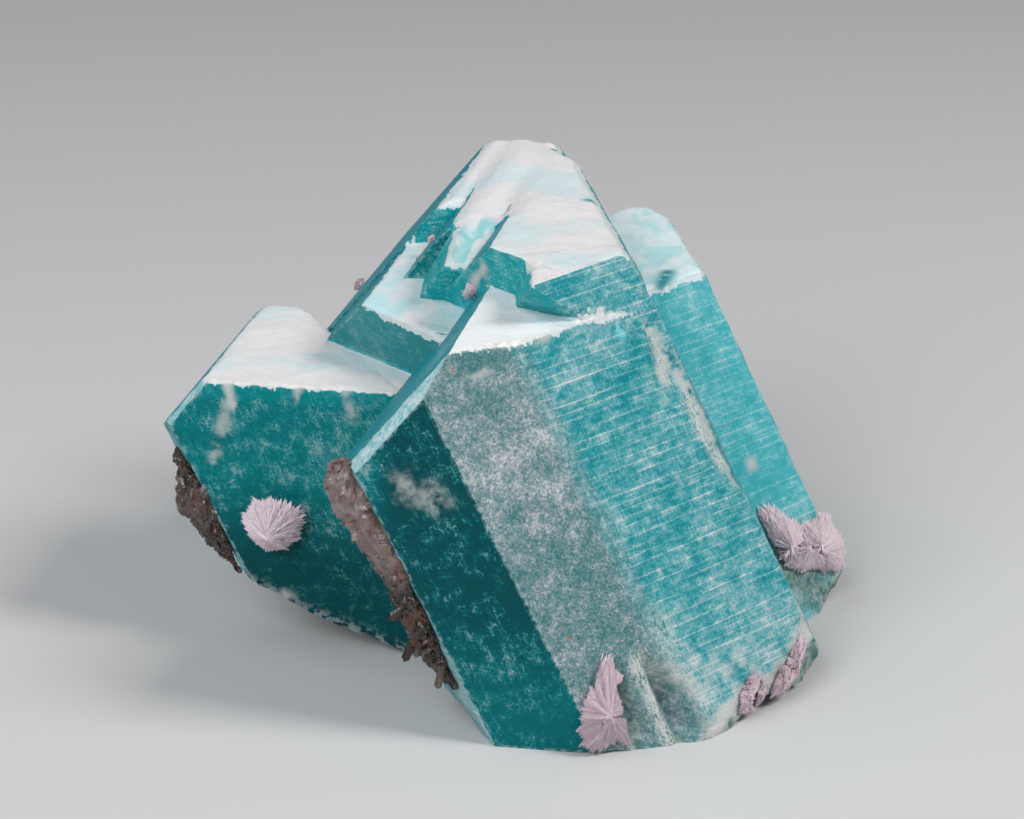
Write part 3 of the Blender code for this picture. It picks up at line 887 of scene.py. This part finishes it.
roughness = plus(0.42, times(face["cap"], 0.10), times(face["broken"], 0.16), times(frost, 0.12))
look = {"Base Color": colour, "Roughness": roughness, "Specular IOR Level": 0.09, "IOR": 1.53}
stone.fill(stone.shader, look)
rough_height = times(plus(patch, frost), 0.5)
bumps = plus(
    times(sparkle, plus(times(grit_glint_cells, 0.5), times(frost, 0.6))),
    times(face["bright"], plus(times(stripes, 0.25), rough_height)),
    times(face["wall"], plus(times(flat_streak, 0.4), times(rough_height, 0.7))),
    times(face["cap"], plus(times(swirl, 0.8), times(frost, 0.5))),
    times(face["broken"], times(rough_height, 2.6)),
    times(crumble, times(rough_height, 2.4)),
    times(plus(face["slope"], face["riser"], face["side"], face["rear"]), rough_height),
)
stone.raised(bumps, 0.14)
crystals.data.materials.append(stone.material)
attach(crystals, "root")
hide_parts("amazonite_crystals")

# Cleavelandite tufts.
# Pinkish white albite in thin plates that grew outward over the amazonite from a few roots, as dense as felt.
# Each tuft is a few fans: a low core under thousands of tapering blades that radiate to a ragged rim.
BLADE_THICKNESS = 0.07
BLADES_PER_LOBE = 180
# Node: direction that the tuft faces, number of blades, their longest length, how rough and how white it is
# (a low whiteness is painted shade on the front spray and the sprays at the foot), and for each fan its root,
# how far it bulges and its rim. Without fans it is one fan as large as its solid.
TUFTS = {
    "cleavelandite_rosette": ((0.0, -1.0, 0.1), (12500, 2.6), (1.0, 1.0), [
        ((-50.2, 26.2, 19.0), 2.6, [(x, 26.4, z) for x, z in [
            (-54.8, 21.9), (-54.6, 20.0), (-53.6, 18.1), (-52.4, 16.8), (-51.0, 15.9), (-49.2, 16.1),
            (-47.5, 16.5), (-46.0, 17.9), (-45.0, 19.7), (-44.7, 22.0), (-45.4, 23.5), (-46.4, 24.0),
            (-47.6, 24.3), (-49.0, 24.6), (-50.3, 24.9), (-51.4, 24.3), (-53.1, 24.5), (-53.6, 23.2),
            (-54.2, 22.5), (-54.8, 21.9),
        ]]),
    ]),
    "cleavelandite_front_spray": ((0.44, -0.87, 0.21), (11500, 2.2), (0.8, 0.0), [
        ((3.9, 0.7, 6.0), 1.6, [
            (1.0, -0.9, 4.7), (0.0, -0.8, 5.6), (0.2, -0.3, 7.0), (0.7, 0.2, 8.5), (1.7, 1.2, 10.3),
            (2.4, 2.0, 12.3), (3.0, 2.8, 14.4), (4.0, 3.3, 14.3), (4.6, 3.0, 12.0), (5.0, 2.5, 8.9),
            (5.8, 2.4, 7.1), (6.1, 2.2, 5.5),
        ]),
        ((4.2, 2.2, 9.8), 0.9, [(4.8, 3.0, 12.0), (6.0, 3.3, 11.2), (5.6, 2.8, 10.0)]),
        ((4.5, 0.9, 5.4), 1.2, [
            (1.6, -0.4, 5.6), (0.2, -0.9, 5.0), (-0.1, -1.2, 3.9), (0.6, -1.0, 2.8), (0.4, -1.5, 1.5),
            (1.9, -1.0, 0.6),
        ]),
        ((4.1, 0.8, 5.6), 1.2, [
            (1.4, -1.1, 1.0), (2.1, -0.9, 0.4), (3.8, 0.0, 0.6), (5.5, 1.0, 1.4), (7.3, 1.8, 0.7),
            (6.8, 1.9, 2.9), (6.4, 2.2, 4.6),
        ]),
    ]),
    "cleavelandite_right_spray": ((0.77, -0.51, 0.38), (13500, 3.0), (0.5, 1.0), [
        ((23.4, 52.8, 11.0), 1.7, [
            (21.4, 51.6, 11.9), (20.2, 51.7, 13.8), (18.8, 51.8, 16.9), (18.4, 52.4, 18.6),
            (20.0, 54.4, 18.1), (21.5, 55.5, 16.8), (23.4, 57.0, 15.2), (25.2, 57.9, 12.9),
            (25.6, 57.0, 11.2),
        ]),
        ((27.4, 57.6, 9.6), 1.9, [
            (24.0, 54.9, 11.0), (23.6, 56.2, 13.1), (24.6, 58.3, 14.1), (25.9, 59.6, 13.5),
            (27.2, 62.1, 14.2), (28.6, 63.5, 13.0), (29.8, 63.6, 10.8), (30.0, 62.4, 9.0),
        ]),
        ((27.8, 58.0, 8.8), 1.9, [
            (29.2, 63.0, 11.4), (30.5, 64.1, 9.7), (31.4, 63.7, 7.1), (31.6, 62.2, 4.7), (30.6, 60.4, 4.4),
            (29.0, 58.6, 5.6),
        ]),
        ((26.0, 55.6, 10.0), 1.5, [
            (30.4, 60.8, 5.4), (30.1, 60.2, 4.7), (28.7, 58.6, 5.2), (27.4, 57.3, 5.9), (25.4, 54.2, 6.3),
            (23.7, 52.6, 7.6), (22.4, 51.8, 9.3), (21.4, 51.7, 11.5),
        ]),
    ]),
    "cleavelandite_base_spray": ((0.77, -0.51, 0.38), (3800, 1.5), (1.5, 0.15), [
        ((22.0, 15.4, 3.6), 1.1, [
            (20.9, 13.6, 2.4), (20.8, 14.6, 4.4), (21.7, 17.0, 5.6), (22.6, 18.9, 6.3), (23.3, 18.6, 4.9),
        ]),
        ((22.9, 16.9, 3.2), 1.0, [
            (23.4, 19.4, 5.0), (24.2, 19.0, 3.2), (23.9, 17.8, 1.9), (22.8, 15.8, 1.2),
        ]),
        ((21.9, 15.0, 2.6), 0.8, [
            (23.0, 15.9, 1.2), (21.9, 14.1, 0.9), (20.9, 13.2, 1.7), (20.9, 13.8, 3.0),
        ]),
    ]),
    "cleavelandite_corner_spray": ((0.77, -0.51, 0.38), (4600, 1.6), (1.3, 0.15), [
        ((25.9, 21.4, 3.2), 1.1, [
            (26.7, 21.5, 1.4), (24.6, 18.5, 1.7), (24.9, 20.2, 3.4), (26.0, 23.4, 5.5), (27.2, 24.4, 4.6),
        ]),
        ((27.2, 24.6, 4.2), 1.2, [
            (26.3, 23.8, 5.4), (27.1, 26.1, 7.0), (28.6, 29.0, 8.0), (28.8, 28.2, 6.3), (28.2, 26.0, 4.4),
        ]),
        ((27.0, 23.4, 3.5), 1.0, [
            (28.4, 26.2, 4.8), (28.0, 24.4, 2.9), (26.9, 22.0, 1.4), (25.9, 20.9, 1.6),
        ]),
    ]),
    "cleavelandite_notch_bit": ((-0.3, -0.9, 0.3), (400, 1.0), (1.0, 0.5), []),
    "cleavelandite_knob_bit": ((-0.3, -0.9, 0.3), (900, 1.3), (1.0, 0.5), []),
    "cleavelandite_flank_bit": ((-0.7, -0.6, 0.3), (400, 1.0), (1.0, 0.5), []),
}
chance = np.random.default_rng(11)


def random_ways(count):
    return unit(chance.normal(size=(count, 3)))


def pointed_prism(sides):
    """Faces of a prism whose points are the ring at its foot, the ring under its tip, and the tip."""
    pairs = [(index, (index + 1) % sides) for index in range(sides)]
    walls = [(one, after, sides + after, sides + one) for one, after in pairs]
    slopes = [(sides + one, sides + after, 2 * sides) for one, after in pairs]
    return [tuple(reversed(range(sides))), *walls, *slopes]


def shifted(faces, first):
    """Faces whose points are counted from a later one."""
    return [[first + spot for spot in face] for face in faces]


def whole_fan(solid, front):
    """One round fan as large as a solid."""
    middle = solid.mean(0)
    side = unit(np.cross(front, [[0.0, 0.0, 1.0]]))[0]
    up = np.cross(side, front)
    rim = []
    for angle in np.linspace(0.0, 2.0 * math.pi, 13):
        way = side * math.cos(angle) + up * math.sin(angle)
        rim.append(middle + way * ((solid - middle) @ way).max())
    return middle, 0.8 * ((solid - middle) @ front).max(), rim


def fan_area(root, bulge, rim):
    """Twice the area between a root and its rim, without the bulge."""
    return np.linalg.norm(np.cross(np.diff(rim, axis=0), np.array(rim[1:]) - root), axis=1).sum()


def fan_parts(root, bulge, rim, front, count, longest, rough, whiteness_and_shade):
    """Points, faces, normals, tip and tone values of a fan of blades and the core under it."""
    root, rim = np.array(root), np.array(rim)
    if np.cross(rim[:-1] - root, rim[1:] - root).sum(0) @ front < 0.0:
        rim = rim[::-1]
    size = len(rim)
    outer, middle = root + 0.8 * (rim - root), root + 0.5 * (rim - root) + 0.55 * bulge * front
    core = np.concatenate([outer, middle, [root + 0.65 * bulge * front, root - 0.8 * front]])
    core[:, 2] = np.maximum(core[:, 2], 0.0)
    every = []
    for index in range(size):
        after = (index + 1) % size
        every += [(index, after, size + after, size + index), (size + index, size + after, 2 * size)]
        every.append((after, index, 2 * size + 1))

    around = chance.random(count) * (size - 1)
    corner = around.astype(int)
    edge = rim[corner] + (around - corner)[:, None] * (rim[corner + 1] - rim[corner])
    # The blades stand in lobes side by side, and each lobe has 42 sheaves: 7 side by side times 6
    lobes = max(count // BLADES_PER_LOBE, 5)
    sheaves = 42 * lobes + 6
    lobe_place = around / (size - 1) * lobes
    lobe = lobe_place.astype(int)
    sheaf = (lobe_place * 7).astype(int) * 6 + chance.integers(0, 6, count)
    lobe_size, sheaf_size = chance.random(lobes)[lobe], chance.random(sheaves)[sheaf]
    share = (0.04 + 0.96 * chance.random(count)) ** 0.6
    spoke = edge - root
    reach = np.linalg.norm(spoke, axis=1)[:, None]
    spoke = spoke / reach
    ragged = 0.88 + 0.16 * sheaf_size - 0.12 * lobe_size + 0.10 * chance.random(count) ** 4
    dome = np.sqrt(np.maximum(1.0 - share**2, 0.0))
    height = bulge * dome * (0.80 + rough * (0.40 * lobe_size + 0.12 * sheaf_size - 0.2))
    tips = root + spoke * reach * (share * ragged)[:, None] + height[:, None] * front
    lean = 0.24 * random_ways(lobes)[lobe] + 0.22 * random_ways(sheaves)[sheaf]
    ways = unit(spoke * (0.50 + 0.50 * share)[:, None] + (0.40 * dome)[:, None] * front + rough * lean)
    facing = unit(front + spoke * (bulge * share / (dome + 0.35))[:, None] / reach)
    lengths = np.clip(0.4 * reach[:, 0], 0.8, longest) * (0.6 + 0.6 * chance.random(count))
    flat = unit(np.cross(ways, unit(facing + 0.3 * rough * chance.normal(size=tips.shape))))
    thin = np.cross(ways, flat)
    widths = (0.16 + 0.20 * chance.random(count))[:, None]
    rings = []
    for back, part in ((1.0, 0.5), (0.42, 1.0)):
        ring = tips - ways * (lengths * back)[:, None] - facing * 0.10 * back
        across, deep_in = flat * widths * part / 2, thin * BLADE_THICKNESS / 2
        rings += [ring + across, ring + deep_in, ring - across, ring - deep_in]
    blades = np.stack([*rings, tips], 1).reshape(-1, 3)
    blades[:, 2] = np.maximum(blades[:, 2], 0.05)
    faces = pointed_prism(4)
    for blade in range(count):
        every += shifted(faces, len(core) + 9 * blade)
    # Felt scatters light like one soft surface, so the blades take their shading mostly from the fan
    folds = random_ways(lobes)[lobe] + 0.6 * random_ways(sheaves)[sheaf]
    soft = unit(facing + 0.3 * rough * folds + 0.12 * random_ways(count) + 0.15 * ways)
    normals = np.concatenate([np.tile(front, (len(core), 1)), np.repeat(soft, 9, axis=0)])
    tip = np.concatenate([np.full(len(core), 0.4), np.tile([0.0] * 4 + [0.58] * 4 + [1.0], count)])
    # Painted shade: a low whiteness darkens the front spray and the sprays at the foot; the rest is random
    # tone
    tone = 0.7 * whiteness_and_shade + 0.3 * (0.4 * lobe_size + 0.35 * sheaf_size + 0.25 * chance.random(count))
    tone = np.concatenate([np.full(len(core), 0.4), np.repeat(tone, 9)])
    return np.concatenate([core, blades]), every, normals, tip, tone


def add_tuft(node_name, front, blades, look, fans):
    solid, _ = solid_triangles(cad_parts[node_name])
    front = unit(np.array([front]))[0]
    fans = fans or [whole_fan(solid, front)]
    count, longest = blades
    areas = [fan_area(*fan) for fan in fans]
    counts = [int(count * area / sum(areas)) for area in areas]
    parts = [fan_parts(*fan, front, share, longest, *look) for fan, share in zip(fans, counts)]
    places, faces, normals, tips, tones = zip(*parts)
    every = []
    for number, fan_faces in enumerate(faces):
        every += shifted(fan_faces, sum(len(part) for part in places[:number]))
    tuft = piece_from(node_name.replace("cleavelandite", "tuft"), np.concatenate(places), every)
    tuft.data.shade_smooth()
    tuft.data.normals_split_custom_set_from_vertices(np.concatenate(normals))
    add_values(tuft.data, "tip", "POINT", np.concatenate(tips))
    add_values(tuft.data, "tone", "POINT", np.concatenate(tones))
    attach(tuft, "root")
    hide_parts(node_name)
    return tuft


felt = Finish("cleavelandite_plates")
fold = felt.cloud(2.2, 3.0, shift=4.0)
body = felt.tinted(
    felt.blend(felt.attribute("tone"), (208, 184, 196), (255, 236, 246)),
    # painted shade: the blades' roots, deep among the other blades, are darker mauve
    (felt.band(felt.attribute("tip"), 0.4, 0.0), 1.0, (206, 176, 190)),
    (felt.band(fold, 0.46, 0.32), 0.3, (206, 180, 193)),
)
felt_look = {
    "Base Color": body,
    "Roughness": felt.plus(0.5, felt.times(fold, 0.15)),
    "Specular IOR Level": 0.3,
    "Subsurface Weight": 0.12,
    "Subsurface Radius": (0.0012, 0.0010, 0.0010),
    "Subsurface Scale": 1.0,
}
felt.fill(felt.shader, felt_look)
felt.raised(felt.cloud(0.4, 2.0), 0.02)
for node_name, settings in TUFTS.items():
    add_tuft(node_name, *settings).data.materials.append(felt.material)

# Smoky quartz crusts.
# Smoky brown quartz crystals and plates that grew side by side on the undersides of the two front crystals.
# Each crust is a lumpy body with short six-sided crystals sunk in it and a few larger plates at its edge.
CRUSTS = {
    # Node: number of crystals, how far up the c axis it reaches, how swollen and how pale it is at some
    # heights, and the larger plates as tip, direction, length, width and thickness
    "smoky_quartz_left_crust": (
        150,
        54.0,
        [
            (9.0, 0.1, 0.0), (17.0, 0.2, 0.05), (22.0, 0.9, 0.22),
            (26.0, 0.1, 0.05), (30.0, -0.3, 0.0), (36.0, -0.6, 0.0),
        ],
        [((-65.4, 28.8, 21.8), (-0.7, -0.2, -0.5), 3.0, 2.4, 1.4)],
    ),
    "smoky_quartz_front_crust": (
        260,
        50.4,
        [
            (6.0, 0.1, 0.05), (14.0, 0.45, 0.0), (22.0, 0.5, 0.0),
            (27.0, 1.0, 0.55), (36.0, 1.1, 0.62), (41.0, 0.4, 0.55),
        ],
        [
            ((-33.2, 1.6, 31.0), (-0.8, -0.1, -0.3), 3.2, 1.6, 0.6),
            ((-32.2, 1.6, 29.0), (-0.7, -0.1, -0.5), 3.2, 1.6, 0.6),
            ((-27.2, 1.6, 17.4), (-0.8, -0.3, -0.5), 3.0, 1.6, 0.6),
            ((-25.0, 1.4, 11.2), (-0.35, -0.2, -0.9), 5.6, 1.2, 0.5),
            ((-23.4, 1.6, 11.8), (-0.2, -0.2, -0.9), 3.4, 0.8, 0.5),
            ((-20.3, 1.4, 7.4), (-0.2, -0.1, -0.95), 3.4, 1.1, 0.6),
        ],
    ),
}
# The sides of a plate lie across this direction
PLATE_TURN = (0.1, 1.0, 0.3)


def surface_spots(solid, triangles, count):
    """Random places on a solid, with the direction that the surface faces there."""
    corners = solid[np.array(triangles)]
    squares = squares_of(corners)
    areas = np.linalg.norm(squares, axis=1)
    picked = chance.choice(len(areas), count, p=areas / areas.sum())
    shares = chance.random((count, 2))
    shares[shares.sum(1) > 1.0] = 1.0 - shares[shares.sum(1) > 1.0]
    first, second, third = corners[picked].transpose(1, 0, 2)
    spots = first + shares[:, :1] * (second - first) + shares[:, 1:] * (third - first)
    return spots, unit(squares[picked])


def quartz_crystal(tip, way, length, width, thickness, turn):
    """Thirteen points of a six-sided crystal with a pointed end."""
    way = way / np.linalg.norm(way)
    side = np.cross(way, turn)
    side /= np.linalg.norm(side)
    other = np.cross(way, side)
    corners = []
    for back in (length, min(0.45 * width, 0.5 * length)):
        for index in range(6):
            angle = math.pi / 3 * index
            spread = side * math.cos(angle) * width / 2 + other * math.sin(angle) * thickness / 2
            corners.append(tip - way * back + spread)
    return [*corners, tip]


def add_crust(node_name, count, top, profile, plates):
    solid, triangles = solid_triangles(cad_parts[node_name])
    solid = solid - C_AXIS * (0.8 * np.maximum(solid @ C_AXIS - top, 0.0))[:, None]
    heights, swells, tones = np.array(profile).T
    shell = bmesh.new()
    for point in solid:
        shell.verts.new(point)
    shell.verts.ensure_lookup_table()
    for triangle in triangles:
        shell.faces.new([shell.verts[index] for index in triangle])
    bmesh.ops.subdivide_edges(shell, edges=shell.edges[:], cuts=2, use_grid_fill=True)
    axes = {"use_axis_x": True, "use_axis_y": True, "use_axis_z": True}
    for _ in range(3):
        bmesh.ops.smooth_vert(shell, verts=shell.verts, factor=0.5, **axes)
    shell.normal_update()
    lumps = []
    for vert in shell.verts:
        rough = 0.45 * noise.noise(vert.co / 2.0) + 0.40 * noise.noise(vert.co / 0.8)
        rough += 0.26 * noise.cell(vert.co / 0.6)
        swell = np.interp(vert.co.z, heights, swells)
        lumps.append(np.array(vert.co + vert.normal * (swell + rough)))
    shell.verts.index_update()
    every = [[vert.index for vert in face.verts] for face in shell.faces]
    shell.free()
    spots, facing = surface_spots(solid, triangles, count)
    small_crystals = []
    for spot, away in zip(spots, facing):
        swell = np.interp(spot[2], heights, swells)
        way = away + 0.5 * chance.normal(size=3)
        width = 0.3 + 0.6 * chance.random()
        length = width * (1.0 + 1.2 * chance.random())
        tip = spot + away * (swell + 0.05 + 0.3 * chance.random())
        thickness = width * (0.45 + 0.5 * chance.random())
        small_crystals.append(quartz_crystal(tip, way, length, width, thickness, chance.normal(size=3)))
    for tip, way, *shape in plates:
        small_crystals.append(quartz_crystal(np.array(tip), np.array(way), *shape, PLATE_TURN))
    body_size = len(lumps)
    for corners in small_crystals:
        every += shifted(pointed_prism(6), len(lumps))
        lumps += corners
    crust = piece_from(node_name.replace("smoky_quartz_", "quartz_"), np.array(lumps), every)
    tone = np.interp(np.array(lumps)[:, 2], heights, tones)
    tone[body_size:] += np.repeat(0.35 * chance.random(len(small_crystals)) - 0.1, 13)
    add_values(crust.data, "tone", "POINT", tone)
    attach(crust, "root")
    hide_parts(node_name)
    return crust


smoke = Finish("smoky_quartz_crust")
haze = smoke.cloud(2.0, 3.0, shift=6.0)
tint = smoke.tinted(
    smoke.blend(smoke.attribute("tone"), (64, 52, 46), (190, 165, 158)),
    (smoke.band(haze, 0.46, 0.64), smoke.attribute("tone"), (206, 190, 188)),
    (smoke.band(smoke.cloud(3.2, 2.0), 0.52, 0.64), 0.6, (118, 78, 50)),
)
smoke_look = {
    "Base Color": tint,
    "Roughness": smoke.plus(0.06, smoke.times(haze, 0.25)),
    "IOR": 1.544,
    "Transmission Weight": 0.45,
}
smoke.fill(smoke.shader, smoke_look)
smoke.raised(smoke.cloud(0.5, 3.0), 0.12)
for node_name, settings in CRUSTS.items():
    add_crust(node_name, *settings).data.materials.append(smoke.material)
